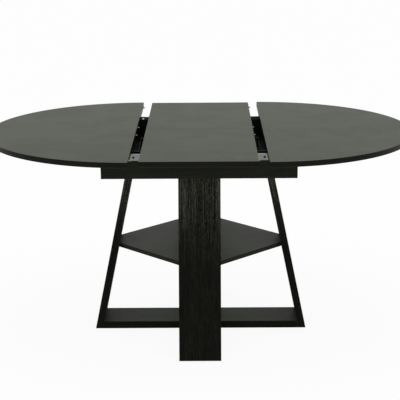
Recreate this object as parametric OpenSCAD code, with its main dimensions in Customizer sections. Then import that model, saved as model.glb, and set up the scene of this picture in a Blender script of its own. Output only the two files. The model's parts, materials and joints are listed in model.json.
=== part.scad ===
// Round extendable dining table, drawn opened: two half tops, a folding leaf between them,
// a box with steel runners under the tops, and a crossed base of slanted planks with a shelf.
// X is the pull-out direction, Y the depth, Z up. The origin is the floor under the centre.

/* [Table top] */
// Height of the table's surface above the floor
table_h = 765; // [700:5:800]
// Diameter of the round top when it is closed
top_d = 1100; // [1000:10:1200]
// Thickness of the half tops and the leaf
top_t = 19; // [17:1:24]
// Chamfer along the round edge
edge_chamfer = 1; // [0.5:0.1:2]
// Width of the folding leaf
leaf_w = 398; // [360:2:440]
// Distance that the leaf's ends stand back from the half tops' edge
leaf_back = 10; // [0:1:20]
// Gap between the leaf and each half top as drawn
open_gap = 36; // [30:1:45]
// Gap between the two halves of the leaf
fold_gap = 0.5; // [0.4:0.1:1]

/* [Box under the top] */
// Width of the box along the pull-out direction
box_w = 684; // [660:2:720]
// Height of the rails
rail_h = 65; // [60:1:75]
// Thickness of the rails
rail_t = 20; // [16:1:24]
// Thickness of the box's bottom
panel_t = 18; // [12:1:20]
// Free height between the rails and the tops
runner_space = 23; // [21:1:28]
// Room between the folded leaf and the runners
stow_gap = 12; // [11:1:15]
// Thickness of the black liners at the sides of the leaf's compartment
liner_t = 2; // [1.5:0.5:2.5]
// Side of the triangular corner blocks
corner_block = 36; // [25:1:38]

/* [Base] */
// Width of the legs, foot planks and bearers
leg_w = 150; // [120:5:170]
// Thickness of the leg planks
leg_t = 27; // [20:1:32]
// Distance from the centre to a leg's outer face at the box
leg_top_x = 265; // [240:1:290]
// Distance from the centre to a leg's outer face at the floor
leg_foot_x = 402; // [370:1:430]
// Thickness of the foot planks
foot_t = 28; // [20:1:32]
// Thickness of the bearers under the box
bearer_t = 22; // [18:1:28]
// Height of the shelf's upper face
shelf_z = 339; // [280:1:400]
// Thickness of the shelf
shelf_t = 16; // [14:1:22]
// Width of each clipped shelf corner, where it meets a leg
shelf_clip = 106; // [80:1:130]
// Diameter of the floor glides
glide_d = 24; // [18:1:30]
// Height of the floor glides
glide_h = 2; // [1:0.5:4]

/* [Runners] */
// Width of the fixed channels
channel_w = 60; // [58:1:66]
// Sheet thickness of the channels
channel_t = 2; // [1.5:0.5:2.5]
// Width of the channels' lips with the wall
lip_w = 10; // [8:1:11]
// Distance from a channel's end to the box's side
channel_inset = 7; // [4:1:20]
// Width of a sliding bar
bar_w = 15; // [14:1:16]
// Wall of a sliding bar
bar_t = 2; // [1.5:0.5:2.5]
// Running gap around the sliding bars
slide_gap = 0.5; // [0.3:0.1:0.6]
// Distance from a bar's outer end to the box's side with the table closed
bar_margin = 2; // [0:1:40]
// Distance from a bar's inner end to the channel's end with the table closed
bar_end_gap = 35; // [20:1:60]
// Number of teeth on a pinion
pinion_teeth = 18; // [16:2:24]
// Height of a pinion
pinion_h = 6; // [4:1:8]
// Height of a rack
rack_h = 8; // [6:1:9]
// Thickness of the pads between the leaf and the channels
pad_t = 1; // [0.8:0.1:1.2]
// Length of a pad
pad_l = 40; // [30:5:60]

/* [Leaf mechanism] */
// Distance between the two pivots on each side
pivot_spacing = 180; // [165:5:190]
// Distance from the fold to the nearer pivots
pivot_y = 70; // [65:1:90]
// Distance from the leaf's underside down to its pivots
pivot_drop = 6; // [6:0.5:7]
// Height of the brackets under the leaf
bracket_h = 12; // [11:1:14]
// Free height under the brackets with the leaf folded away
stow_clear = 4; // [3:1:6]
// Radius of the pivot pins
pivot_r = 3; // [2.5:0.1:3.2]
// Radius of the arms' eyes
eye_r = 5; // [4.6:0.1:5.5]
// Thickness of the arms
arm_t = 4; // [3:0.5:5]
// Distance from the leaf's edge to the arms
arm_out = 12; // [11:0.5:13]
// Thickness of the bracket and stand sheet
sheet_t = 3; // [2:0.5:4]
// Width of the brackets' and stands' flanges
flange_w = 22; // [18:1:28]

/* [Pins, sockets and hinges] */
// Diameter of the alignment pins
pin_d = 5; // [4:0.5:8]
// Length of an alignment pin that stands out of the edge
pin_out = 8; // [7:0.5:10]
// Length of an alignment pin inside the edge
pin_in = 20; // [15:1:30]
// Wall of the sockets
socket_t = 1.3; // [1:0.1:1.6]
// Length of the sockets
socket_l = 13; // [12:1:18]
// Distance from the fold to the inner pins
pin_y_near = 70; // [50:5:120]
// Distance from the outer pins to the leaf's ends
pin_y_edge = 60; // [50:5:100]
// Diameter of the barrel hinges in the fold
barrel_d = 14; // [12:0.5:15]
// Depth of a barrel hinge in each half of the leaf
barrel_l = 14; // [12:1:20]
// Distance between neighbouring barrel hinges
barrel_spacing = 130; // [100:5:150]
// Diameter of the wooden dowels
dowel_d = 8; // [6:1:9]
// Depth of a dowel in a leg
dowel_in_leg = 11; // [8:1:12]
// Depth of a dowel in the piece that meets the leg
dowel_in_board = 28; // [20:1:35]

/* [Hidden] */

// Roundness of large edges and of small holes
$fn = 48;
disc_fn = 240;
// Overshoot of a cut past the face that it opens
cut = 1;
// Radial clearance of fixed pins, screws and dowels
fit = 0.1;
// Radial clearance of turning pivots
turn_fit = 0.05;
// Radial clearance of the alignment pins in their sockets
socket_fit = 0.15;

// Screws: shank, head, hexagon socket, and the wood left under or beside them
screw_d = 4;
screw_head_d = 7.4;
screw_socket_d = 2.6;
screw_socket_depth = 1.2;
screw_skin = 5;
screw_margin = 20;
top_screw_depth = 12;

// Washers and shoulders stand out from their pins by this much
shoulder_out = 1.5;
washer_t = 1.2;
washer_gap = 0.25;

// Heights, from the top down
under_z = table_h - top_t;
rail_top = under_z - runner_space;
box_z = rail_top - rail_h;
panel_top = box_z + panel_t;
leaf_l = top_d / 2 - leaf_back;
open_x = leaf_w / 2 + open_gap;

// Depth of the box, from the folded leaf and the runners beside it
box_d = leaf_l + 2 * (stow_gap + channel_w);
inner_w = box_w - 2 * rail_t;
inner_d = box_d - 2 * rail_t;
batten_h = 20;
batten_w = channel_w - rail_t;

// Leg planks: slope, level thickness, and the distance of the faces at a height
leg_run = leg_foot_x - leg_top_x;
leg_slope = atan(leg_run / box_z);
leg_level_t = leg_t / cos(leg_slope);
function leg_out(z) = leg_foot_x - leg_run * z / box_z;
function leg_in(z) = leg_out(z) - leg_level_t;
foot_top = glide_h + foot_t;
bearer_z = box_z - bearer_t;
shelf_half = leg_in(shelf_z - shelf_t / 2) + shelf_clip / 2;
lap_gap = 0.2;
glide_inset = 35;
glide_r = leg_in(glide_h) - glide_inset;
panel_screw_r = 150;
panel_screw_in = 30;
panel_screw_y = leg_w / 2 - panel_screw_in;
panel_screw_l = panel_t + bearer_t - screw_skin;

// Runners
channel_y = box_d / 2 - channel_w / 2;
channel_top = under_z - pad_t;
channel_l = box_w - 2 * channel_inset;
bar_z = rail_top + channel_t + slide_gap;
bar_h = channel_top - channel_t - slide_gap - bar_z;
bar_outer = channel_w / 2 - channel_t - slide_gap;
bar_inner = bar_outer - bar_w;
bar_x0 = -(open_x + box_w / 2 - bar_margin);
bar_x1 = channel_l / 2 - open_x - bar_end_gap;
rib_inset = lip_w - channel_t;
bar_screw_end = 30;
bar_screw_spacing = 110;
bar_screw_x = [for (k = [0 : 2]) bar_x0 + bar_screw_end + k * bar_screw_spacing];
bar_screw_y = -(bar_outer - rib_inset + bar_inner) / 2;
bar_screw_l = under_z - bar_z + top_screw_depth;
channel_screw_l = 18;
channel_screw_xs = [for (k = [-2, -1, 1, 2]) k * channel_l / 5];
channel_screw_y = (channel_w - rail_t) / 2;
pad_inset = 0.5;
wall_hole_d = 8;
wall_hole_x = open_x - wall_hole_d;
wall_hole_z = (rail_top + channel_top) / 2;

// Gears: the pitch radius leaves the rack a back behind its roots
pressure = 20;
rack_back = 2.25;
dedendum = 1.25;
gear_module = (bar_inner - rack_back) / (pinion_teeth / 2 + dedendum);
pitch_r = gear_module * pinion_teeth / 2;
tip_r = pitch_r + gear_module;
root_r = pitch_r - dedendum * gear_module;
base_r = pitch_r * cos(pressure);
tooth_pitch = PI * gear_module;
backlash = 0.12;
tooth_w = tooth_pitch / 2 - backlash;
rack_spare = 5;
rack_n = ceil(open_x / tooth_pitch) + rack_spare;
rack_lift = 1.5;
rack_z = bar_z + rack_lift;
pinion_z = rack_z + (rack_h - pinion_h) / 2;
pinion_pin_r = 3;
stop_l = 8;

// Leaf mechanism: the front half moves back and down on arms that turn half a turn
stow_z = panel_top + bracket_h + stow_clear;
swing_dy = leaf_l / 2;
swing_dz = under_z - stow_z;
arm_l = sqrt(pow(swing_dy / 2, 2) + pow(swing_dz / 2, 2));
leaf_pivot_z = under_z - pivot_drop;
base_pivot_z = leaf_pivot_z - swing_dz / 2;
leaf_pivot_ys = [-pivot_y - pivot_spacing, -pivot_y];
arm_x = leaf_w / 2 + arm_out;
stand_x = arm_x + arm_t + sheet_t;
shoulder_r = pivot_r + shoulder_out;
arm_waist = 1;
stand_lug = 18;
stand_y0 = leaf_pivot_ys[0] + swing_dy / 2 - stand_lug;
stand_y1 = leaf_pivot_ys[1] + swing_dy / 2 + stand_lug;
stand_screw_l = sheet_t + panel_t - screw_skin;
bracket_in = 8;
bracket_past = 12;
bracket_x = leaf_w / 2 - bracket_in;
bracket_y0 = leaf_pivot_ys[0] - bracket_past;
bracket_y1 = leaf_pivot_ys[1] + bracket_past;
bracket_screw_l = sheet_t + top_screw_depth;

// Alignment pins, sockets and barrel hinges
pin_ys = [pin_y_near, leaf_l - pin_y_edge];
all_pin_ys = [-pin_ys[1], -pin_ys[0], pin_ys[0], pin_ys[1]];
pin_z = under_z + top_t / 2;
pin_tip = 2;
pin_taper = 3;
socket_r = pin_d / 2 + socket_fit + socket_t;
barrel_xs = [-barrel_spacing, 0, barrel_spacing];

// Countersunk screw with its head's top at the origin, pointing down
module screw(length) {
    head_h = (screw_head_d - screw_d) / 2;
    difference() {
        union() {
            translate([0, 0, -head_h]) cylinder(h = head_h, d1 = screw_d, d2 = screw_head_d);
            translate([0, 0, -length]) cylinder(h = length, d = screw_d);
        }
        translate([0, 0, -screw_socket_depth])
            cylinder(h = screw_socket_depth + cut, d = screw_socket_d, $fn = 6);
    }
}

module screw_hole(length) {
    head_h = (screw_head_d - screw_d) / 2;
    translate([0, 0, -head_h - fit])
        cylinder(h = head_h + 2 * fit, d1 = screw_d, d2 = screw_head_d + 4 * fit);
    translate([0, 0, -length - 2 * fit]) cylinder(h = length + 3 * fit, d = screw_d + 2 * fit);
}

// A child along X, standing on the YZ plane
module along_x(length, centred = false) {
    rotate([90, 0, 90]) linear_extrude(length, center = centred) children();
}

// A child's XZ outline across the depth
module across_y(length) {
    rotate([90, 0, 0]) linear_extrude(length, center = true) children();
}

module rail_holes() {
    for (s = [-1, 1], x = channel_screw_xs, y = [-1, 1])
        translate([x, s * channel_y + y * channel_screw_y, rail_top + channel_t])
            screw_hole(channel_screw_l);
}

module front_rail() {
    color("#1d1e1b") difference() {
        translate([-box_w / 2, -box_d / 2, box_z]) cube([box_w, rail_t, rail_h]);
        rail_holes();
    }
}

module rear_rail() {
    color("#1d1e1b") difference() {
        translate([-box_w / 2, box_d / 2 - rail_t, box_z]) cube([box_w, rail_t, rail_h]);
        rail_holes();
    }
}

module side_rail() {
    translate([-box_w / 2, -inner_d / 2, box_z]) cube([rail_t, inner_d, rail_h]);
}

module left_rail() {
    color("#1d1e1b") side_rail();
}

module right_rail() {
    color("#1d1e1b") mirror([1, 0, 0]) side_rail();
}

// Screws that hold the bottom to the bearers
module each_panel_screw() {
    for (turn = [0 : 90 : 270], y = [-1, 1])
        rotate([0, 0, turn]) translate([panel_screw_r, y * panel_screw_y, panel_top]) children();
}

// Place of screw k of three along a flange
function third(y0, y1, k) = y0 + screw_margin + k * (y1 - y0 - 2 * screw_margin) / 2;

// Screws of the stands, beside their webs
module each_stand_screw() {
    for (s = [-1, 1], k = [0 : 2])
        translate([s * (stand_x + flange_w / 2), third(stand_y0, stand_y1, k), panel_top + sheet_t])
            children();
}

module box_panel() {
    color("#121210") difference() {
        translate([-inner_w / 2, -inner_d / 2, box_z]) cube([inner_w, inner_d, panel_t]);
        each_panel_screw() screw_hole(panel_screw_l);
        each_stand_screw() screw_hole(stand_screw_l);
    }
}

module corner_blocks() {
    color("#2a2723") for (turn = [0, 1], side = [0, 1])
        rotate([0, 0, 180 * turn]) mirror([side, 0, 0])
            translate([-inner_w / 2, -inner_d / 2, panel_top])
                linear_extrude(rail_top - batten_h - panel_top)
                    polygon([[0, 0], [corner_block, 0], [0, corner_block]]);
}

module batten() {
    difference() {
        translate([-inner_w / 2, -inner_d / 2, rail_top - batten_h])
            cube([inner_w, batten_w, batten_h]);
        rail_holes();
    }
}

module front_batten() {
    color("#2a2723") batten();
}

module rear_batten() {
    color("#2a2723") rotate([0, 0, 180]) batten();
}

// Legs, foot planks and bearers. Dowels lie along X at the four ends of the cross.
module each_leg_dowel() {
    for (z = [glide_h + foot_t / 2, box_z - bearer_t / 2], y = [-1, 1])
        translate([leg_in(z), y * leg_w / 4, z]) rotate([0, 90, 0]) children();
}

module each_shelf_dowel() {
    z = shelf_z - shelf_t / 2;
    for (y = [-1, 1]) translate([leg_in(z), y * shelf_clip / 4, z]) rotate([0, 90, 0]) children();
}

module dowel(slack) {
    translate([0, 0, -dowel_in_board - slack])
        cylinder(h = dowel_in_board + dowel_in_leg + 2 * slack, d = dowel_d + 2 * slack);
}

module leg() {
    difference() {
        across_y(leg_w) polygon([
            [leg_out(glide_h), glide_h], [leg_out(box_z), box_z],
            [leg_in(box_z), box_z], [leg_in(glide_h), glide_h]
        ]);
        each_leg_dowel() dowel(fit);
        each_shelf_dowel() dowel(fit);
    }
}

module right_leg() {
    color("#191816") leg();
}

module rear_leg() {
    color("#191816") rotate([0, 0, 90]) leg();
}

module left_leg() {
    color("#191816") rotate([0, 0, 180]) leg();
}

module front_leg() {
    color("#191816") rotate([0, 0, 270]) leg();
}

// A board from leg to leg, with its ends cut to the legs' slope
module cross_board(z0, z1) {
    difference() {
        across_y(leg_w) polygon([
            [-leg_in(z0), z0], [leg_in(z0), z0], [leg_in(z1), z1], [-leg_in(z1), z1]
        ]);
        for (turn = [0, 180]) rotate([0, 0, turn]) each_leg_dowel() dowel(fit);
    }
}

// Half lap at the crossing, below or above the middle of the board
module lap(z0, z1) {
    side = leg_w + 2 * lap_gap;
    translate([-side / 2, -side / 2, z0]) cube([side, side, z1 - z0]);
}

module foot_plank_x() {
    color("#262722") difference() {
        cross_board(glide_h, foot_top);
        lap(glide_h - cut, glide_h + foot_t / 2);
    }
}

module foot_plank_y() {
    color("#262722") difference() {
        rotate([0, 0, 90]) cross_board(glide_h, foot_top);
        lap(glide_h + foot_t / 2, foot_top + cut);
    }
}

module bearer_x() {
    color("#262722") difference() {
        cross_board(bearer_z, box_z);
        lap(bearer_z - cut, bearer_z + bearer_t / 2);
        each_panel_screw() screw_hole(panel_screw_l);
    }
}

module bearer_y() {
    color("#262722") difference() {
        rotate([0, 0, 90]) cross_board(bearer_z, box_z);
        lap(bearer_z + bearer_t / 2, box_z + cut);
        each_panel_screw() screw_hole(panel_screw_l);
    }
}

// Square shelf set corner on, its corners clipped by the legs' inner faces
module shelf() {
    z0 = shelf_z - shelf_t;
    color("#30322d") difference() {
        intersection() {
            translate([0, 0, z0]) rotate([0, 0, 45])
                linear_extrude(shelf_t) square(shelf_half * sqrt(2), center = true);
            for_legs(z0, 0);
            for_legs(z0, 90);
        }
        for (turn = [0 : 90 : 270]) rotate([0, 0, turn]) each_shelf_dowel() dowel(fit);
    }
}

// The space between two opposite legs, over the shelf's height
module for_legs(z0, turn) {
    rotate([0, 0, turn]) across_y(2 * shelf_half) polygon([
        [-leg_in(z0), z0], [leg_in(z0), z0], [leg_in(shelf_z), shelf_z], [-leg_in(shelf_z), shelf_z]
    ]);
}

module leg_dowels() {
    color("#b08a5a") for (turn = [0 : 90 : 270]) rotate([0, 0, turn]) each_leg_dowel() dowel(0);
}

module shelf_dowels() {
    color("#b08a5a") for (turn = [0 : 90 : 270]) rotate([0, 0, turn]) each_shelf_dowel() dowel(0);
}

module floor_glides() {
    color("#3a3a38") for (turn = [0 : 90 : 270], y = [-1, 1])
        rotate([0, 0, turn]) translate([glide_r, y * (leg_w / 2 - glide_d), 0])
            cylinder(h = glide_h, d = glide_d);
}

module panel_screws() {
    color("#5b5c5e") each_panel_screw() screw(panel_screw_l);
}

// Fixed channel: base, two walls and two lips, on its own centre line
module channel() {
    w = channel_w;
    h = channel_top - rail_top;
    difference() {
        translate([0, 0, rail_top]) along_x(channel_l, true) polygon([
            [-w / 2, 0], [w / 2, 0], [w / 2, h], [w / 2 - lip_w, h], [w / 2 - lip_w, h - channel_t],
            [w / 2 - channel_t, h - channel_t], [w / 2 - channel_t, channel_t],
            [channel_t - w / 2, channel_t], [channel_t - w / 2, h - channel_t],
            [lip_w - w / 2, h - channel_t], [lip_w - w / 2, h], [-w / 2, h]
        ]);
        for (x = channel_screw_xs, y = [-1, 1])
            translate([x, y * channel_screw_y, rail_top + channel_t])
            screw_hole(channel_screw_l);
        translate([0, 0, rail_top - cut]) cylinder(h = channel_t + 2 * cut, r = pinion_pin_r + fit);
        for (x = [-wall_hole_x, wall_hole_x]) translate([x, -w / 2 - cut, wall_hole_z])
            rotate([-90, 0, 0]) cylinder(h = channel_t + 2 * cut, d = wall_hole_d);
    }
}

module at_front() {
    translate([0, -channel_y, 0]) children();
}

module at_rear() {
    translate([0, channel_y, 0]) children();
}

module front_channel() {
    color("#9fa3a2") at_front() channel();
}

module rear_channel() {
    color("#9fa3a2") rotate([0, 0, 180]) at_front() channel();
}

module channel_screws() {
    color("#8b8d90") for (s = [-1, 1], x = channel_screw_xs, y = [-1, 1])
        translate([x, s * channel_y + y * channel_screw_y, rail_top + channel_t])
            screw(channel_screw_l);
}

// Stops that the racks' outer ends meet when the table is fully open
module runner_stops() {
    rack_end = (rack_n + 0.5) * tooth_pitch;
    color("#1b1b1c") for (s = [-1, 1], turn = [0, 180])
        translate([0, s * channel_y, rail_top + channel_t]) rotate([0, 0, turn])
            translate([-rack_end - slide_gap - stop_l, -bar_inner + slide_gap, 0])
                cube([stop_l, bar_inner - root_r + gear_module, rack_z + rack_h - rail_top - channel_t]);
}

module pinion_pins() {
    z = pinion_z + pinion_h;
    color("#8b8d90") for (s = [-1, 1]) translate([0, s * channel_y, 0]) {
        translate([0, 0, rail_top]) cylinder(h = z + slide_gap - rail_top, r = pinion_pin_r);
        translate([0, 0, rail_top + channel_t])
            cylinder(h = pinion_z - slide_gap - rail_top - channel_t, r = pinion_pin_r + shoulder_out);
        translate([0, 0, z + slide_gap]) cylinder(h = washer_t, r = pinion_pin_r + shoulder_out);
    }
}

module leaf_pads() {
    color("#242424") for (s = [-1, 1], x = [-1, 1], y = [-1, 1])
        translate([x * leaf_w / 4 - pad_l / 2,
                   s * channel_y + y * (channel_w - lip_w) / 2 - lip_w / 2 + pad_inset, channel_top])
            cube([pad_l, lip_w - 2 * pad_inset, pad_t]);
}

// Liners between the leaf's compartment and the runners, level with the channels' lips
module compartment_liners() {
    color("#121210") for (side = [0, 1]) mirror([0, side, 0])
        translate([-inner_w / 2, channel_w - box_d / 2, panel_top])
            cube([inner_w, liner_t, channel_top - panel_top]);
}

// Riveted pivot along Z: a pin through the sheet, a shoulder up to the arm and a washer behind it
module pivot(shoulder_l) {
    arm_z = sheet_t + shoulder_l + washer_gap;
    cylinder(h = arm_z + arm_t + washer_gap + washer_t, r = pivot_r);
    translate([0, 0, sheet_t]) cylinder(h = shoulder_l, r = shoulder_r);
    translate([0, 0, arm_z + arm_t + washer_gap]) cylinder(h = washer_t, r = shoulder_r);
}

module pivot_hole() {
    translate([0, 0, -cut]) cylinder(h = sheet_t + 2 * cut, r = pivot_r + fit);
}

// Stand on the box's bottom that carries the arms' lower pivots
module each_stand_pivot() {
    for (y = leaf_pivot_ys) translate([stand_x + sheet_t, y + swing_dy / 2, base_pivot_z])
        rotate([0, -90, 0]) children();
}

module stand() {
    difference() {
        union() {
            translate([stand_x, 0, 0]) along_x(sheet_t) polygon([
                [stand_y0, panel_top], [stand_y1, panel_top],
                [stand_y1 - stand_lug + eye_r, base_pivot_z + eye_r],
                [stand_y0 + stand_lug - eye_r, base_pivot_z + eye_r]
            ]);
            translate([stand_x, stand_y0, panel_top])
                cube([flange_w, stand_y1 - stand_y0, sheet_t]);
        }
        each_stand_pivot() pivot_hole();
        each_stand_screw() screw_hole(stand_screw_l);
    }
}

module right_stand() {
    color("#8f9294") stand();
}

module left_stand() {
    color("#8f9294") mirror([1, 0, 0]) stand();
}

module stand_pivots() {
    shoulder_l = stand_x - arm_x - arm_t - washer_gap;
    color("#8b8d90") for (side = [0, 1]) mirror([side, 0, 0]) each_stand_pivot() pivot(shoulder_l);
}

module stand_screws() {
    color("#8b8d90") each_stand_screw() screw(stand_screw_l);
}

// Half top: the left one carries pins, the right one sockets
module each_pin(ys) {
    for (y = ys) translate([0, y, pin_z]) rotate([0, 90, 0]) children();
}

module each_bar_screw() {
    for (s = [-1, 1], x = bar_screw_x)
        translate([x, s * channel_y + bar_screw_y, bar_z]) rotate([180, 0, 0]) children();
}

module half_top(side) {
    c = edge_chamfer;
    r = top_d / 2;
    difference() {
        translate([side * open_x, 0, under_z]) rotate_extrude($fn = disc_fn)
            polygon([[0, 0], [r - c, 0], [r, c], [r, top_t - c], [r - c, top_t], [0, top_t]]);
        translate([side < 0 ? -open_x : -open_x - 2 * r, -r - cut, under_z - cut])
            cube([2 * open_x + 2 * r, 2 * r + 2 * cut, top_t + 2 * cut]);
        rotate([0, 0, side < 0 ? 0 : 180]) each_bar_screw() screw_hole(bar_screw_l);
    }
}

module left_top() {
    color("#62655f") difference() {
        half_top(-1);
        translate([-open_x - pin_in - fit, 0, 0]) each_pin(all_pin_ys)
            cylinder(h = pin_in + cut, r = pin_d / 2 + fit);
    }
}

module pins(ys) {
    each_pin(ys) {
        translate([0, 0, -pin_in]) cylinder(h = pin_in + pin_out - pin_tip, d = pin_d);
        translate([0, 0, pin_out - pin_tip]) cylinder(h = pin_tip, d1 = pin_d, d2 = pin_d - pin_taper);
    }
}

module left_top_pins() {
    color("#a98a52") translate([-open_x, 0, 0]) pins(all_pin_ys);
}

module sockets(ys) {
    each_pin(ys) difference() {
        cylinder(h = socket_l, r = socket_r);
        translate([0, 0, -cut]) cylinder(h = socket_l + 2 * cut, r = pin_d / 2 + socket_fit);
    }
}

module socket_holes(ys) {
    each_pin(ys) translate([0, 0, -cut]) cylinder(h = socket_l + cut + fit, r = socket_r + fit);
}

module right_top() {
    color("#62655f") difference() {
        half_top(1);
        translate([open_x, 0, 0]) socket_holes(all_pin_ys);
    }
}

module right_top_sockets() {
    color("#a98a52") translate([open_x, 0, 0]) sockets(all_pin_ys);
}

// Sliding bar: a tube with a rib up to the half top and a rack towards the pinion
module rack_outline() {
    half_tip = tooth_w / 2 - gear_module * tan(pressure);
    half_root = tooth_w / 2 + dedendum * gear_module * tan(pressure);
    tip = -(pitch_r - gear_module);
    root = -(pitch_r + dedendum * gear_module);
    teeth = [for (k = [-rack_n : rack_spare - 1]) let (x = (k + 0.5) * tooth_pitch)
        each [[x - half_root, root], [x - half_tip, tip], [x + half_tip, tip], [x + half_root, root]]];
    x0 = -(rack_n + 0.5) * tooth_pitch;
    x1 = (rack_spare + 0.5) * tooth_pitch;
    polygon(concat([[x0, -bar_inner], [x0, root]], teeth, [[x1, root], [x1, -bar_inner]]));
}

module runner_bar() {
    difference() {
        union() {
            translate([bar_x0, -bar_outer, bar_z]) cube([bar_x1 - bar_x0, bar_w, bar_h]);
            translate([bar_x0, rib_inset - bar_outer, bar_z])
                cube([-open_x - bar_x0, bar_w - rib_inset, under_z - bar_z]);
            translate([0, 0, rack_z]) linear_extrude(rack_h) rack_outline();
        }
        translate([bar_x0 - cut, bar_t - bar_outer, bar_z + bar_t])
            cube([bar_x1 - bar_x0 + 2 * cut, bar_w - 2 * bar_t, bar_h - 2 * bar_t]);
        for (x = bar_screw_x) translate([x, bar_screw_y, bar_z]) rotate([180, 0, 0])
            screw_hole(bar_screw_l);
    }
}

module left_bar_front() {
    color("#8f9294") at_front() runner_bar();
}

module left_bar_rear() {
    color("#8f9294") at_rear() runner_bar();
}

module right_bar_front() {
    color("#8f9294") rotate([0, 0, 180]) at_rear() runner_bar();
}

module right_bar_rear() {
    color("#8f9294") rotate([0, 0, 180]) at_front() runner_bar();
}

module left_bar_screws() {
    color("#8b8d90") each_bar_screw() screw(bar_screw_l);
}

module right_bar_screws() {
    color("#8b8d90") rotate([0, 0, 180]) each_bar_screw() screw(bar_screw_l);
}

// Pinion with involute teeth; one tooth points at each rack
function involute(angle) = tan(angle) - angle * PI / 180;
function flank_turn(r) =
    (tooth_w / 2 / pitch_r + involute(pressure) - involute(acos(min(1, base_r / r)))) * 180 / PI;
module pinion() {
    flank_n = 4;
    radii = [for (k = [0 : flank_n]) base_r + (tip_r - base_r) * k / flank_n];
    half = concat([[root_r, flank_turn(base_r)]], [for (r = radii) [r, flank_turn(r)]]);
    outline = [for (t = [0 : pinion_teeth - 1]) let (mid = t * 360 / pinion_teeth - 90) each concat(
        [for (p = half) [p[0] * cos(mid - p[1]), p[0] * sin(mid - p[1])]],
        [for (k = [len(half) - 1 : -1 : 0]) let (p = half[k])
            [p[0] * cos(mid + p[1]), p[0] * sin(mid + p[1])]]
    )];
    translate([0, 0, pinion_z]) difference() {
        linear_extrude(pinion_h) polygon(outline);
        translate([0, 0, -cut]) cylinder(h = pinion_h + 2 * cut, r = pinion_pin_r + turn_fit);
    }
}

module front_pinion() {
    color("#c9c4b4") at_front() pinion();
}

module rear_pinion() {
    color("#c9c4b4") at_rear() pinion();
}

// Swing arm from a stand's pivot, at the origin, to the leaf's pivot
module arm() {
    reach = [-swing_dy / 2, swing_dz / 2];
    turn = atan2(reach[1], reach[0]);
    along_x(arm_t) difference() {
        union() {
            circle(r = eye_r);
            translate(reach) circle(r = eye_r);
            rotate(turn) translate([0, arm_waist - eye_r]) square([arm_l, 2 * (eye_r - arm_waist)]);
        }
        circle(r = pivot_r + turn_fit);
        translate(reach) circle(r = pivot_r + turn_fit);
    }
}

module place_arm(k) {
    translate([arm_x, leaf_pivot_ys[k] + swing_dy / 2, base_pivot_z]) arm();
}

module front_arm_right() {
    color("#8f9294") place_arm(0);
}

module front_arm_left() {
    color("#8f9294") mirror([1, 0, 0]) place_arm(0);
}

module rear_arm_right() {
    color("#8f9294") place_arm(1);
}

module rear_arm_left() {
    color("#8f9294") mirror([1, 0, 0]) place_arm(1);
}

// Leaf half, from the fold to its own end
module leaf_half(side) {
    c = edge_chamfer;
    y0 = fold_gap / 2;
    difference() {
        translate([0, 0, under_z]) mirror([0, side < 0 ? 1 : 0, 0]) along_x(leaf_w, true) polygon([
            [y0, 0], [leaf_l - c, 0], [leaf_l, c], [leaf_l, top_t - c], [leaf_l - c, top_t], [y0, top_t]
        ]);
        for (x = barrel_xs) translate([x, side * y0, pin_z]) rotate([side * -90, 0, 0])
            translate([0, 0, -cut]) cylinder(h = barrel_l + cut + fit, d = barrel_d + 2 * fit);
        translate([leaf_w / 2 - pin_in - fit, 0, 0]) each_pin(side * pin_ys)
            cylinder(h = pin_in + cut, r = pin_d / 2 + fit);
        translate([-leaf_w / 2, 0, 0]) socket_holes(side * pin_ys);
    }
}

module leaf_front() {
    color("#62655f") difference() {
        leaf_half(-1);
        each_bracket_screw() screw_hole(bracket_screw_l);
    }
}

module leaf_rear() {
    color("#62655f") leaf_half(1);
}

module leaf_front_pins() {
    color("#a98a52") translate([leaf_w / 2, 0, 0]) pins(-pin_ys);
}

module leaf_rear_pins() {
    color("#a98a52") translate([leaf_w / 2, 0, 0]) pins(pin_ys);
}

module leaf_front_sockets() {
    color("#a98a52") translate([-leaf_w / 2, 0, 0]) sockets(-pin_ys);
}

module leaf_rear_sockets() {
    color("#a98a52") translate([-leaf_w / 2, 0, 0]) sockets(pin_ys);
}

// Barrel hinge halves with a slot for the links between them
module barrels(side) {
    for (x = barrel_xs) translate([x, side * fold_gap / 2, pin_z]) rotate([side * -90, 0, 0])
        difference() {
            cylinder(h = barrel_l, d = barrel_d);
            translate([-barrel_d / 8, -barrel_d / 3, -cut])
                cube([barrel_d / 4, barrel_d * 2 / 3, barrel_l * 2 / 3 + cut]);
        }
}

module leaf_front_hinges() {
    color("#b0935a") barrels(-1);
}

module leaf_rear_hinges() {
    color("#b0935a") barrels(1);
}

// Bracket under the front half of the leaf, with the arms' upper pivots
module each_bracket_screw() {
    for (s = [-1, 1], k = [0 : 2])
        translate([s * (bracket_x - flange_w / 2),
                   third(bracket_y0, bracket_y1, k), under_z - sheet_t])
            rotate([180, 0, 0]) children();
}

module each_leaf_pivot() {
    for (y = leaf_pivot_ys) translate([bracket_x, y, leaf_pivot_z]) rotate([0, 90, 0]) children();
}

module leaf_bracket() {
    difference() {
        union() {
            translate([bracket_x - flange_w, bracket_y0, under_z - sheet_t])
                cube([flange_w + sheet_t, bracket_y1 - bracket_y0, sheet_t]);
            translate([bracket_x, bracket_y0, under_z - bracket_h])
                cube([sheet_t, bracket_y1 - bracket_y0, bracket_h]);
        }
        each_leaf_pivot() pivot_hole();
        each_bracket_screw() screw_hole(bracket_screw_l);
    }
}

module leaf_bracket_right() {
    color("#8f9294") leaf_bracket();
}

module leaf_bracket_left() {
    color("#8f9294") mirror([1, 0, 0]) leaf_bracket();
}

module leaf_pivots() {
    shoulder_l = arm_x - bracket_x - sheet_t - washer_gap;
    color("#8b8d90") for (side = [0, 1]) mirror([side, 0, 0]) each_leaf_pivot() pivot(shoulder_l);
}

module leaf_bracket_screws() {
    color("#8b8d90") each_bracket_screw() screw(bracket_screw_l);
}

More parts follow.
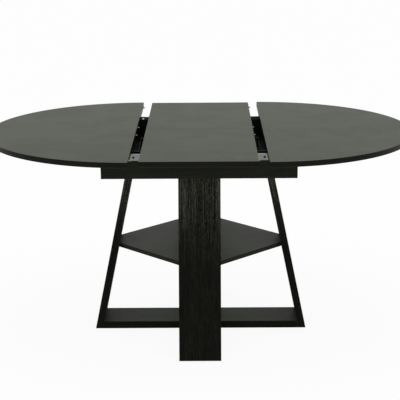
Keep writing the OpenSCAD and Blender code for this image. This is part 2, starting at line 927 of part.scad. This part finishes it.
front_rail();
rear_rail();
left_rail();
right_rail();
box_panel();
corner_blocks();
front_batten();
rear_batten();
bearer_x();
bearer_y();
front_leg();
rear_leg();
left_leg();
right_leg();
foot_plank_x();
foot_plank_y();
shelf();
leg_dowels();
shelf_dowels();
floor_glides();
panel_screws();
front_channel();
rear_channel();
channel_screws();
runner_stops();
pinion_pins();
leaf_pads();
compartment_liners();
left_stand();
right_stand();
stand_pivots();
stand_screws();
left_top();
left_top_pins();
left_bar_front();
left_bar_rear();
left_bar_screws();
right_top();
right_top_sockets();
right_bar_front();
right_bar_rear();
right_bar_screws();
front_arm_left();
front_arm_right();
rear_arm_left();
rear_arm_right();
leaf_front();
leaf_front_pins();
leaf_front_sockets();
leaf_bracket_left();
leaf_bracket_right();
leaf_pivots();
leaf_bracket_screws();
leaf_front_hinges();
leaf_rear();
leaf_rear_pins();
leaf_rear_sockets();
leaf_rear_hinges();
front_pinion();
rear_pinion();
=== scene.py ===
import json
import math

import bmesh
import bpy
from mathutils import Matrix, Vector


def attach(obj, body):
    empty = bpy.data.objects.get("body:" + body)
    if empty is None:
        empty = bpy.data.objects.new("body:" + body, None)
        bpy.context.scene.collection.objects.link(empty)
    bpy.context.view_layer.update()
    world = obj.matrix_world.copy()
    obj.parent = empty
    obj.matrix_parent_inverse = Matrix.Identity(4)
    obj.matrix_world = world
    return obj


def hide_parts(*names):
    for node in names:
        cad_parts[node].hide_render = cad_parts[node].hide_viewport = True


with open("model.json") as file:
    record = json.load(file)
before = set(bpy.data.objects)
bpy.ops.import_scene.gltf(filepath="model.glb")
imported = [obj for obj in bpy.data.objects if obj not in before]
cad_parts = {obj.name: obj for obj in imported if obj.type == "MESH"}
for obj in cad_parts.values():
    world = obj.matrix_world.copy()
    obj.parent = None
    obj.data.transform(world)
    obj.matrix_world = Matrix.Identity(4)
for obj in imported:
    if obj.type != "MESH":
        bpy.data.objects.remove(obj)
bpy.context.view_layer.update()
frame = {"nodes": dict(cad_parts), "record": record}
nodes = frame["nodes"]
nodeBody = {node: body for body, group in frame["record"]["behaviour"]["bodies"].items() for node in group}
nodeSlot = {part["node"]: part["material_slot"] for part in frame["record"]["subparts"]}
print("frame loaded:", len(nodes), "nodes")

# Camera, fitted to the photograph's edges in a frame of 400 by 400
cameraSet = {"focal": 1189.67, "frame": 400, "sensor": 36, "farClip": 60,
             "place": (0.02692, -4.35314, 1.65790), "yaw": -0.00612, "pitch": 0.26222, "roll": -0.00675}


def makeCamera(values):
    yaw, pitch, roll = values["yaw"], values["pitch"], values["roll"]
    forward = Vector((math.sin(yaw) * math.cos(pitch), math.cos(yaw) * math.cos(pitch), -math.sin(pitch)))
    level = Vector((math.cos(yaw), -math.sin(yaw), 0))
    upright = level.cross(forward)
    right = level * math.cos(roll) + upright * math.sin(roll)
    up = upright * math.cos(roll) - level * math.sin(roll)
    data = bpy.data.cameras.new("photoCamera")
    data.sensor_width = values["sensor"]
    data.lens = values["focal"] / values["frame"] * values["sensor"]
    data.clip_end = values["farClip"]
    camera = bpy.data.objects.new("photoCamera", data)
    turn = Matrix((right, up, -forward)).transposed().to_4x4()
    camera.matrix_world = Matrix.Translation(values["place"]) @ turn
    bpy.context.scene.collection.objects.link(camera)
    bpy.context.scene.camera = camera


makeCamera(cameraSet)
print("camera placed")


# Shared effects, each a node group
def startGroup(name, inputs, outputs):
    group = bpy.data.node_groups.new(name, "ShaderNodeTree")
    for label, kind, value in inputs:
        socket = group.interface.new_socket(name=label, in_out="INPUT", socket_type=kind)
        if value is not None:
            socket.default_value = value
    for label, kind in outputs:
        group.interface.new_socket(name=label, in_out="OUTPUT", socket_type=kind)
    enter = group.nodes.new("NodeGroupInput")
    leave = group.nodes.new("NodeGroupOutput")
    return group, enter, leave


def addMath(tree, operation, first, second, clamp=False):
    node = tree.nodes.new("ShaderNodeMath")
    node.operation = operation
    node.use_clamp = clamp
    for socket, value in zip(node.inputs, (first, second)):
        if isinstance(value, (int, float)):
            socket.default_value = value
        else:
            tree.links.new(value, socket)
    return node.outputs[0]


def addWeighed(tree, first, second, share):
    return addMath(tree, "ADD", addMath(tree, "MULTIPLY", first, 1 - share),
                   addMath(tree, "MULTIPLY", second, share))


def addRange(tree, value, low, high, newLow=0.0, newHigh=1.0):
    node = tree.nodes.new("ShaderNodeMapRange")
    node.interpolation_type = "SMOOTHSTEP"
    tree.links.new(value, node.inputs["Value"])
    for label, number in (("From Min", low), ("From Max", high), ("To Min", newLow), ("To Max", newHigh)):
        node.inputs[label].default_value = number
    return node.outputs["Result"]


# Noise, stretched per axis and cut to a range
def addPattern(tree, vector, values):
    mapping = tree.nodes.new("ShaderNodeMapping")
    mapping.inputs["Scale"].default_value = values["stretch"]
    tree.links.new(vector, mapping.inputs["Vector"])
    noise = tree.nodes.new("ShaderNodeTexNoise")
    for label, number in (("Scale", 1.0), ("Detail", values["detail"]), ("Roughness", values["rough"]),
                          ("Distortion", values["warp"])):
        noise.inputs[label].default_value = number
    tree.links.new(mapping.outputs["Vector"], noise.inputs["Vector"])
    return addRange(tree, noise.outputs["Fac"], *values["cut"])


# Oak: the grain runs along the vector's X, with open pores, bands of early wood, flecks and slow colour drift
oakPatterns = {
    "fine": {"stretch": (26, 560, 560), "detail": 2.0, "rough": 0.6, "warp": 0.0, "cut": (0.50, 0.62)},
    "coarse": {"stretch": (12, 290, 290), "detail": 2.0, "rough": 0.5, "warp": 0.15, "cut": (0.52, 0.62)},
    "Bands": {"stretch": (5, 250, 250), "detail": 1.5, "rough": 0.5, "warp": 0.3, "cut": (0.40, 0.60)},
    "Flecks": {"stretch": (110, 330, 330), "detail": 1.0, "rough": 0.5, "warp": 0.0, "cut": (0.40, 0.62)},
    "Drift": {"stretch": (2.5, 12, 12), "detail": 2.0, "rough": 0.5, "warp": 0.0, "cut": (0.35, 0.65)},
}


def makeOakGrain():
    tree, enter, leave = startGroup(
        "openPoreOak", [("Vector", "NodeSocketVector", None)],
        [("Pores", "NodeSocketFloat"), ("Bands", "NodeSocketFloat"), ("Flecks", "NodeSocketFloat"),
         ("Drift", "NodeSocketFloat")])
    made = {name: addPattern(tree, enter.outputs["Vector"], values) for name, values in oakPatterns.items()}
    made["Pores"] = addMath(tree, "MAXIMUM", made["fine"], made["coarse"])
    for label in ("Pores", "Bands", "Flecks", "Drift"):
        tree.links.new(made[label], leave.inputs[label])
    return tree


# Edge wear: where the rounded normal leaves the flat one, broken up by noise
wearSet = {"radius": 0.0016, "samples": 4, "edge": (0.02, 0.3),
           "breaks": {"stretch": (70, 70, 70), "detail": 3.0, "rough": 0.6, "warp": 0.0, "cut": (0.4, 0.65)}}


def makeEdgeWear(values):
    tree, enter, leave = startGroup(
        "edgeWear", [("Vector", "NodeSocketVector", None), ("Amount", "NodeSocketFloat", 0.5)],
        [("Mask", "NodeSocketFloat")])
    rounded = tree.nodes.new("ShaderNodeBevel")
    rounded.samples = values["samples"]
    rounded.inputs["Radius"].default_value = values["radius"]
    flat = tree.nodes.new("ShaderNodeNewGeometry")
    dot = tree.nodes.new("ShaderNodeVectorMath")
    dot.operation = "DOT_PRODUCT"
    tree.links.new(rounded.outputs["Normal"], dot.inputs[0])
    tree.links.new(flat.outputs["Normal"], dot.inputs[1])
    edge = addRange(tree, addMath(tree, "SUBTRACT", 1.0, dot.outputs["Value"]), *values["edge"])
    broken = addPattern(tree, enter.outputs["Vector"], values["breaks"])
    mask = addMath(tree, "MULTIPLY", addMath(tree, "MULTIPLY", edge, broken), enter.outputs["Amount"], True)
    tree.links.new(mask, leave.inputs["Mask"])
    return tree


# Handling marks: soft blotches, for roughness and a little colour
blotchPattern = {"stretch": (7, 7, 7), "detail": 4.0, "rough": 0.55, "warp": 0.4, "cut": (0.35, 0.7)}


def makeHandling(values):
    tree, enter, leave = startGroup(
        "handlingMarks", [("Vector", "NodeSocketVector", None)], [("Blotch", "NodeSocketFloat")])
    tree.links.new(addPattern(tree, enter.outputs["Vector"], values), leave.inputs["Blotch"])
    return tree


oakGrain = makeOakGrain()
edgeWear = makeEdgeWear(wearSet)
handling = makeHandling(blotchPattern)


def startMaterial(name, turn=(0, 0, 0), shift=(0, 0, 0)):
    material = bpy.data.materials.new(name)
    material.use_nodes = True
    tree = material.node_tree
    shader = tree.nodes["Principled BSDF"]
    coordinates = tree.nodes.new("ShaderNodeTexCoord")
    mapping = tree.nodes.new("ShaderNodeMapping")
    mapping.inputs["Rotation"].default_value = turn
    mapping.inputs["Location"].default_value = shift
    tree.links.new(coordinates.outputs["Object"], mapping.inputs["Vector"])
    return material, tree, shader, mapping.outputs["Vector"]


def addAxis(tree, axis):
    coordinates = tree.nodes.new("ShaderNodeTexCoord")
    split = tree.nodes.new("ShaderNodeSeparateXYZ")
    tree.links.new(coordinates.outputs["Object"], split.inputs["Vector"])
    return split.outputs[axis]


def placeGroup(tree, group, vector):
    node = tree.nodes.new("ShaderNodeGroup")
    node.node_tree = group
    tree.links.new(vector, node.inputs["Vector"])
    return node


def mixColour(tree, factor, first, second):
    node = tree.nodes.new("ShaderNodeMix")
    node.data_type = "RGBA"
    sockets = [s for s in node.inputs if s.type == "RGBA"]
    for socket, value in ((node.inputs["Factor"], factor), (sockets[0], first), (sockets[1], second)):
        if isinstance(value, (int, float)):
            socket.default_value = value
        elif isinstance(value, tuple):
            socket.default_value = (*value, 1.0)
        else:
            tree.links.new(value, socket)
    return [s for s in node.outputs if s.type == "RGBA"][0]


def addBump(tree, shader, height, strength, distance):
    bump = tree.nodes.new("ShaderNodeBump")
    bump.inputs["Strength"].default_value = strength
    bump.inputs["Distance"].default_value = distance
    tree.links.new(height, bump.inputs["Height"])
    tree.links.new(bump.outputs["Normal"], shader.inputs["Normal"])


# Black-stained oak: the legs are open-pored, with painted light that makes their light bands stronger towards
# the box, and the tops are close-pored, with a lacquered band along their edges. "stretch" scales the grain
# along and across, a pair gives the share of light bands low and high on the table (painted light on the
# legs, an even share on the other pieces), and "fleck" is the share of flecks in these bands.
oakFinishes = {
    "top": {"dark": (0.0030, 0.0033, 0.0024), "light": (0.0085, 0.0089, 0.0070), "pore": 0.5, "bump": 0.12,
            "rough": (0.47, 0.56), "ior": 1.145, "sheen": 0.18, "wear": 0.06, "brushed": (0.5, 0.5),
            "stretch": (1.0, 1.0), "fleck": 0.0},
    "band": {"dark": (0.0036, 0.0040, 0.0027), "light": (0.0076, 0.0081, 0.0057), "pore": 0.3, "bump": 0.06,
             "rough": (0.36, 0.44), "ior": 1.18, "sheen": 0.0, "wear": 0.06, "brushed": (0.5, 0.5),
             "stretch": (1.0, 1.0), "fleck": 0.0},
    # The legs' pair of light-band shares is painted light: the legs grow lighter towards the box.
    "leg": {"dark": (0.0020, 0.0023, 0.0015), "light": (0.145, 0.147, 0.118), "pore": 0.85, "bump": 0.5,
            "rough": (0.46, 0.58), "ior": 1.10, "sheen": 0.14, "wear": 0.25, "brushed": (0.05, 1.15),
            "stretch": (0.9, 1.3), "fleck": 0.5},
    # The rail finish is lighter than the other oak: painted light, lifting the rails out of the shade under
    # the top, and the bearers with them.
    "rail": {"dark": (0.0105, 0.0120, 0.0085), "light": (0.0190, 0.0205, 0.0150), "pore": 0.4, "bump": 0.15,
             "rough": (0.44, 0.54), "ior": 1.12, "sheen": 0.14, "wear": 0.15, "brushed": (0.6, 0.6),
             "stretch": (1.0, 1.0), "fleck": 0.2},
    "foot": {"dark": (0.0034, 0.0038, 0.0028), "light": (0.0075, 0.0080, 0.0062), "pore": 0.4, "bump": 0.1,
             "rough": (0.42, 0.50), "ior": 1.10, "sheen": 0.12, "wear": 0.2, "brushed": (0.6, 0.6),
             "stretch": (1.0, 1.0), "fleck": 0.2},
    "shelf": {"dark": (0.0040, 0.0044, 0.0033), "light": (0.0080, 0.0086, 0.0068), "pore": 0.3, "bump": 0.06,
              "rough": (0.44, 0.50), "ior": 1.14, "sheen": 0.14, "wear": 0.15, "brushed": (0.5, 0.5),
              "stretch": (1.0, 1.0), "fleck": 0.0},
}
# The heights between which the light-band share moves give the legs' painted light.
oakSet = {"paintedLightHeights": (0.30, 0.80), "driftShare": 0.35, "poreShade": 0.45, "worn": (0.045, 0.042, 0.034),
          "poreRough": 0.5, "bandRise": 0.35, "bumpDepth": 0.0006, "tint": (0.97, 1.0, 0.91, 1.0),
          "sheenTint": (0.90, 1.0, 0.76, 1.0), "sheenRough": 0.5}


def stainedOak(name, finish, turn, shift):
    values = oakFinishes[finish]
    material, tree, shader, vector = startMaterial(name, turn, shift)
    along, across = values["stretch"]
    scaled = tree.nodes.new("ShaderNodeMapping")
    scaled.inputs["Scale"].default_value = (along, across, across)
    tree.links.new(vector, scaled.inputs["Vector"])
    grain = placeGroup(tree, oakGrain, scaled.outputs["Vector"])
    marks = placeGroup(tree, handling, vector)
    wear = placeGroup(tree, edgeWear, vector)
    wear.inputs["Amount"].default_value = values["wear"]
    # Painted light: the share of light bands follows the height, so the legs are lighter towards the box.
    brushed = addRange(tree, addAxis(tree, "Z"), *oakSet["paintedLightHeights"], *values["brushed"])
    bands = addWeighed(tree, grain.outputs["Bands"], grain.outputs["Flecks"], values["fleck"])
    base = mixColour(tree, addMath(tree, "MULTIPLY", bands, brushed), values["dark"], values["light"])
    drift = addMath(tree, "MULTIPLY", grain.outputs["Drift"], oakSet["driftShare"])
    pores = addMath(tree, "MULTIPLY", grain.outputs["Pores"], values["pore"])
    poreColour = tuple(oakSet["poreShade"] * c for c in values["dark"])
    filled = mixColour(tree, pores, mixColour(tree, drift, base, values["dark"]), poreColour)
    worn = mixColour(tree, wear.outputs["Mask"], filled, oakSet["worn"])
    tree.links.new(worn, shader.inputs["Base Color"])
    uneven = addWeighed(tree, marks.outputs["Blotch"], grain.outputs["Pores"], oakSet["poreRough"])
    tree.links.new(addRange(tree, uneven, 0, 1, *values["rough"]), shader.inputs["Roughness"])
    shader.inputs["IOR"].default_value = values["ior"]
    shader.inputs["Specular Tint"].default_value = oakSet["tint"]
    shader.inputs["Sheen Weight"].default_value = values["sheen"]
    shader.inputs["Sheen Roughness"].default_value = oakSet["sheenRough"]
    shader.inputs["Sheen Tint"].default_value = oakSet["sheenTint"]
    raised = addMath(tree, "MULTIPLY", grain.outputs["Bands"], oakSet["bandRise"])
    height = addMath(tree, "SUBTRACT", raised, grain.outputs["Pores"])
    addBump(tree, shader, height, values["bump"], oakSet["bumpDepth"])
    return material


# Brushed metal and plain finishes share one fine texture, stretched as each one's "grain" says
fineTexture = {"detail": 3.0, "rough": 0.6, "warp": 0.0, "cut": (0.3, 0.7)}

# Metals: zinc-plated sheet with a rolled grain along X, screws, and brushed brass. Only the channels' outer
# wall and outer lip show zinc, outwards in Y from a given distance: the rest of them is painted shade, black
# that stands in for the shade inside the leaf's compartment.
metalFinishes = {
    "zinc_steel": {"dark": (0.15, 0.16, 0.142), "light": (0.275, 0.292, 0.262), "rough": (0.30, 0.46),
                   "grain": (9, 260, 260), "bump": 0.08, "outerZincFrom": (0.3315, 0.3323)},
    "screw_steel": {"dark": (0.34, 0.35, 0.36), "light": (0.52, 0.53, 0.54), "rough": (0.24, 0.38),
                    "grain": (180, 180, 180), "bump": 0.05},
    "brass": {"dark": (0.17, 0.13, 0.07), "light": (0.30, 0.24, 0.14), "rough": (0.28, 0.42),
              "grain": (320, 320, 60), "bump": 0.05},
}
metalSet = {"wear": 0.6, "wornLift": 1.25, "blotchShare": 0.4, "bumpDepth": 0.0003}
# Painted shade: the black on the channels' inner walls and lips, standing in for the compartment's shade.
paintedShade = {"colour": (0.0040, 0.0041, 0.0039), "rough": 0.6, "ior": 1.15}


def brushedMetal(name):
    values = metalFinishes[name]
    material, tree, shader, vector = startMaterial(name)
    brushed = addPattern(tree, vector, {**fineTexture, "stretch": values["grain"]})
    marks = placeGroup(tree, handling, vector)
    wear = placeGroup(tree, edgeWear, vector)
    wear.inputs["Amount"].default_value = metalSet["wear"]
    blend = addWeighed(tree, brushed, marks.outputs["Blotch"], metalSet["blotchShare"])
    base = mixColour(tree, blend, values["dark"], values["light"])
    wornColour = tuple(min(1.0, metalSet["wornLift"] * c) for c in values["light"])
    worn = mixColour(tree, wear.outputs["Mask"], base, wornColour)
    rough = addRange(tree, marks.outputs["Blotch"], 0, 1, *values["rough"])
    shader.inputs["Metallic"].default_value = 1.0
    # Painted shade: inward of the outer wall and lip the channels are black.
    if "outerZincFrom" in values:
        outward = addMath(tree, "ABSOLUTE", addAxis(tree, "Y"), 0.0)
        bare = addRange(tree, outward, *values["outerZincFrom"])
        worn = mixColour(tree, bare, paintedShade["colour"], worn)
        rough = addMath(tree, "MAXIMUM", rough, addRange(tree, bare, 0, 1, paintedShade["rough"], 0.0))
        tree.links.new(bare, shader.inputs["Metallic"])
        shader.inputs["IOR"].default_value = paintedShade["ior"]
    tree.links.new(worn, shader.inputs["Base Color"])
    tree.links.new(rough, shader.inputs["Roughness"])
    addBump(tree, shader, brushed, values["bump"], metalSet["bumpDepth"])
    return material


# Plain finishes: near-black board and steel, bare beech, moulded nylon and felt
plainFinishes = {
    "black_board": {"dark": (0.0015, 0.0018, 0.0016), "light": (0.0038, 0.0044, 0.0039),
                    "rough": (0.62, 0.78), "grain": (240, 240, 240), "bump": 0.12, "ior": 1.2, "sheen": 0.0},
    "black_steel": {"dark": (0.0018, 0.0022, 0.0019), "light": (0.0048, 0.0056, 0.0049),
                    "rough": (0.58, 0.70), "grain": (300, 300, 300), "bump": 0.08, "ior": 1.15, "sheen": 0.0},
    "beech": {"dark": (0.50, 0.31, 0.16), "light": (0.68, 0.47, 0.28), "rough": (0.55, 0.7),
              "grain": (20, 300, 300), "bump": 0.1, "ior": 1.45, "sheen": 0.0},
    "nylon": {"dark": (0.60, 0.58, 0.51), "light": (0.74, 0.72, 0.65), "rough": (0.40, 0.52),
              "grain": (90, 90, 90), "bump": 0.04, "ior": 1.5, "sheen": 0.0},
    "felt": {"dark": (0.022, 0.022, 0.021), "light": (0.065, 0.063, 0.060), "rough": (0.88, 0.96),
             "grain": (1400, 1400, 1400), "bump": 0.6, "ior": 1.4, "sheen": 0.3},
}
plainSet = {"blotchShare": 0.35, "bumpDepth": 0.0004}


def plainFinish(name):
    values = plainFinishes[name]
    material, tree, shader, vector = startMaterial(name)
    texture = addPattern(tree, vector, {**fineTexture, "stretch": values["grain"]})
    marks = placeGroup(tree, handling, vector)
    blend = addWeighed(tree, texture, marks.outputs["Blotch"], plainSet["blotchShare"])
    tree.links.new(mixColour(tree, blend, values["dark"], values["light"]), shader.inputs["Base Color"])
    rough = addRange(tree, marks.outputs["Blotch"], 0, 1, *values["rough"])
    tree.links.new(rough, shader.inputs["Roughness"])
    shader.inputs["IOR"].default_value = values["ior"]
    shader.inputs["Sheen Weight"].default_value = values["sheen"]
    addBump(tree, shader, texture, values["bump"], plainSet["bumpDepth"])
    return material


finishes = {name: brushedMetal(name) for name in metalFinishes}
finishes.update({name: plainFinish(name) for name in plainFinishes})
print("finishes made")

# Wooden pieces: a turn that brings the grain's direction to X, and a shift so that no two planks repeat
legRun = {"foot": 0.402, "head": 0.265, "rise": 0.658}
slant = math.atan2(legRun["foot"] - legRun["head"], legRun["rise"])
quarterTurn = math.pi / 2
woodPieces = {
    "left_top": {"finish": "top", "turn": (0, 0, 0), "shift": (0.0, 0.0, 0.0)},
    "right_top": {"finish": "top", "turn": (0, 0, 0), "shift": (0.9, 0.4, 0.1)},
    "leaf_front": {"finish": "top", "turn": (0, 0, 0), "shift": (1.7, 0.9, 0.2)},
    "leaf_rear": {"finish": "top", "turn": (0, 0, 0), "shift": (2.3, 1.6, 0.3)},
    "front_rail": {"finish": "rail", "turn": (0, 0, 0), "shift": (3.1, 0.2, 0.4)},
    "rear_rail": {"finish": "rail", "turn": (0, 0, 0), "shift": (3.9, 0.7, 0.5)},
    "left_rail": {"finish": "rail", "turn": (0, 0, quarterTurn), "shift": (4.3, 1.1, 0.6)},
    "right_rail": {"finish": "rail", "turn": (0, 0, quarterTurn), "shift": (4.9, 1.5, 0.7)},
    "front_leg": {"finish": "leg", "turn": (slant, quarterTurn, 0), "shift": (5.3, 1.9, 0.8)},
    "rear_leg": {"finish": "leg", "turn": (-slant, quarterTurn, 0), "shift": (5.9, 2.3, 0.9)},
    "left_leg": {"finish": "leg", "turn": (0, quarterTurn - slant, 0), "shift": (6.3, 2.7, 1.1)},
    "right_leg": {"finish": "leg", "turn": (0, quarterTurn + slant, 0), "shift": (6.9, 3.1, 1.3)},
    "foot_plank_x": {"finish": "foot", "turn": (0, 0, 0), "shift": (7.3, 3.5, 1.5)},
    "foot_plank_y": {"finish": "foot", "turn": (0, 0, quarterTurn), "shift": (7.9, 3.9, 1.7)},
    "bearer_x": {"finish": "rail", "turn": (0, 0, 0), "shift": (8.3, 4.3, 1.9)},
    "bearer_y": {"finish": "rail", "turn": (0, 0, quarterTurn), "shift": (8.9, 4.7, 2.1)},
    "shelf": {"finish": "shelf", "turn": (0, 0, 0), "shift": (9.3, 5.1, 2.3)},
}
easedEdge = {"wood": 0.0007, "metal": 0.0004, "segments": 2, "angle": 32, "merge": 1e-6, "flatAngle": 0.5,
             "bandBelow": 0.5, "weight": 50}
sheetPieces = ["front_channel", "rear_channel", "left_bar_front", "left_bar_rear", "right_bar_front",
               "right_bar_rear", "compartment_liners", "left_stand", "right_stand", "leaf_bracket_left",
               "leaf_bracket_right", "front_arm_left", "front_arm_right", "rear_arm_left", "rear_arm_right"]


# A copy of a node at the same size, merged, with its edges eased. A band is a second material on the faces
# whose normal's Z is below "bandBelow".
def easedCopy(node, width, material, band=None):
    mesh = nodes[node].data.copy()
    shape = bmesh.new()
    shape.from_mesh(mesh)
    bmesh.ops.remove_doubles(shape, verts=shape.verts, dist=easedEdge["merge"])
    bmesh.ops.dissolve_limit(shape, angle_limit=math.radians(easedEdge["flatAngle"]), verts=shape.verts,
                             edges=shape.edges)
    bmesh.ops.recalc_face_normals(shape, faces=shape.faces)
    for face in shape.faces:
        face.smooth = True
        if band and abs(face.normal.z) < easedEdge["bandBelow"]:
            face.material_index = 1
    mesh.materials.clear()
    mesh.materials.append(material)
    if band:
        mesh.materials.append(band)
    shape.to_mesh(mesh)
    shape.free()
    piece = bpy.data.objects.new(node + "_eased", mesh)
    bpy.context.scene.collection.objects.link(piece)
    bevel = piece.modifiers.new("easedEdges", "BEVEL")
    bevel.width = width
    bevel.segments = easedEdge["segments"]
    bevel.limit_method = "ANGLE"
    bevel.angle_limit = math.radians(easedEdge["angle"])
    bevel.use_clamp_overlap = True
    flatten = piece.modifiers.new("flatFaces", "WEIGHTED_NORMAL")
    flatten.mode = "FACE_AREA"
    flatten.weight = easedEdge["weight"]
    flatten.keep_sharp = False
    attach(piece, nodeBody[node])
    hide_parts(node)


for node, values in woodPieces.items():
    placing = (values["turn"], values["shift"])
    band = stainedOak(node + "_band", "band", *placing) if values["finish"] == "top" else None
    easedCopy(node, easedEdge["wood"], stainedOak(node + "_oak", values["finish"], *placing), band)
print("wooden pieces made:", len(woodPieces))
for node in sheetPieces:
    easedCopy(node, easedEdge["metal"], finishes[nodeSlot[node]])
print("sheet pieces made:", len(sheetPieces))

carried = [node for node in nodes if node not in woodPieces and node not in sheetPieces]
for node in carried:
    nodes[node].data.materials.clear()
    nodes[node].data.materials.append(finishes[nodeSlot[node]])
print("nodes finished in place:", len(carried))

# Floor and light
studio = {"floor": 30, "floorCells": 8, "floorColour": (0.92, 0.92, 0.92), "floorLift": 0.92, "world": 0.9}
lamps = [{"name": "overhead", "place": (0.0, -0.6, 3.6), "aim": (0, 0, 0.5), "size": 3.2, "watts": 20},
         {"name": "front", "place": (0.3, -4.2, 2.6), "aim": (0, 0, 0.6), "size": 2.4, "watts": 14}]


def makeSeenRay(tree):
    path = tree.nodes.new("ShaderNodeLightPath")
    seen = addMath(tree, "ADD", path.outputs["Is Camera Ray"], path.outputs["Is Glossy Ray"], True)
    return addMath(tree, "ADD", seen, path.outputs["Is Transmission Ray"], True)


def makeFloor(values):
    mesh = bpy.data.meshes.new("studioFloor")
    shape = bmesh.new()
    cells = values["floorCells"]
    bmesh.ops.create_grid(shape, x_segments=cells, y_segments=cells, size=values["floor"])
    shape.to_mesh(mesh)
    shape.free()
    floor = bpy.data.objects.new("studioFloor", mesh)
    bpy.context.scene.collection.objects.link(floor)
    material = bpy.data.materials.new("studioFloor")
    material.use_nodes = True
    tree = material.node_tree
    tree.nodes.clear()
    plain = tree.nodes.new("ShaderNodeBsdfDiffuse")
    plain.inputs["Color"].default_value = (*values["floorColour"], 1)
    lift = tree.nodes.new("ShaderNodeEmission")
    lift.inputs["Strength"].default_value = 1.0
    mix = tree.nodes.new("ShaderNodeMixShader")
    tree.links.new(addMath(tree, "MULTIPLY", makeSeenRay(tree), values["floorLift"]), mix.inputs[0])
    tree.links.new(plain.outputs[0], mix.inputs[1])
    tree.links.new(lift.outputs[0], mix.inputs[2])
    leave = tree.nodes.new("ShaderNodeOutputMaterial")
    tree.links.new(mix.outputs[0], leave.inputs["Surface"])
    mesh.materials.append(material)


def makeWorld(values):
    world = bpy.data.worlds.new("studioWorld")
    world.use_nodes = True
    tree = world.node_tree
    background = tree.nodes["Background"]
    background.inputs["Color"].default_value = (1, 1, 1, 1)
    strength = addRange(tree, makeSeenRay(tree), 0, 1, values["world"], 1.0)
    tree.links.new(strength, background.inputs["Strength"])
    bpy.context.scene.world = world


def makeLamp(values):
    data = bpy.data.lights.new(values["name"], "AREA")
    data.size = values["size"]
    data.energy = values["watts"]
    lamp = bpy.data.objects.new(values["name"], data)
    lamp.location = values["place"]
    sight = Vector(values["aim"]) - Vector(values["place"])
    lamp.rotation_euler = sight.to_track_quat("-Z", "Y").to_euler()
    bpy.context.scene.collection.objects.link(lamp)


makeFloor(studio)
makeWorld(studio)
for lampValues in lamps:
    makeLamp(lampValues)
bpy.context.scene.view_settings.view_transform = "Standard"
print("studio lit")
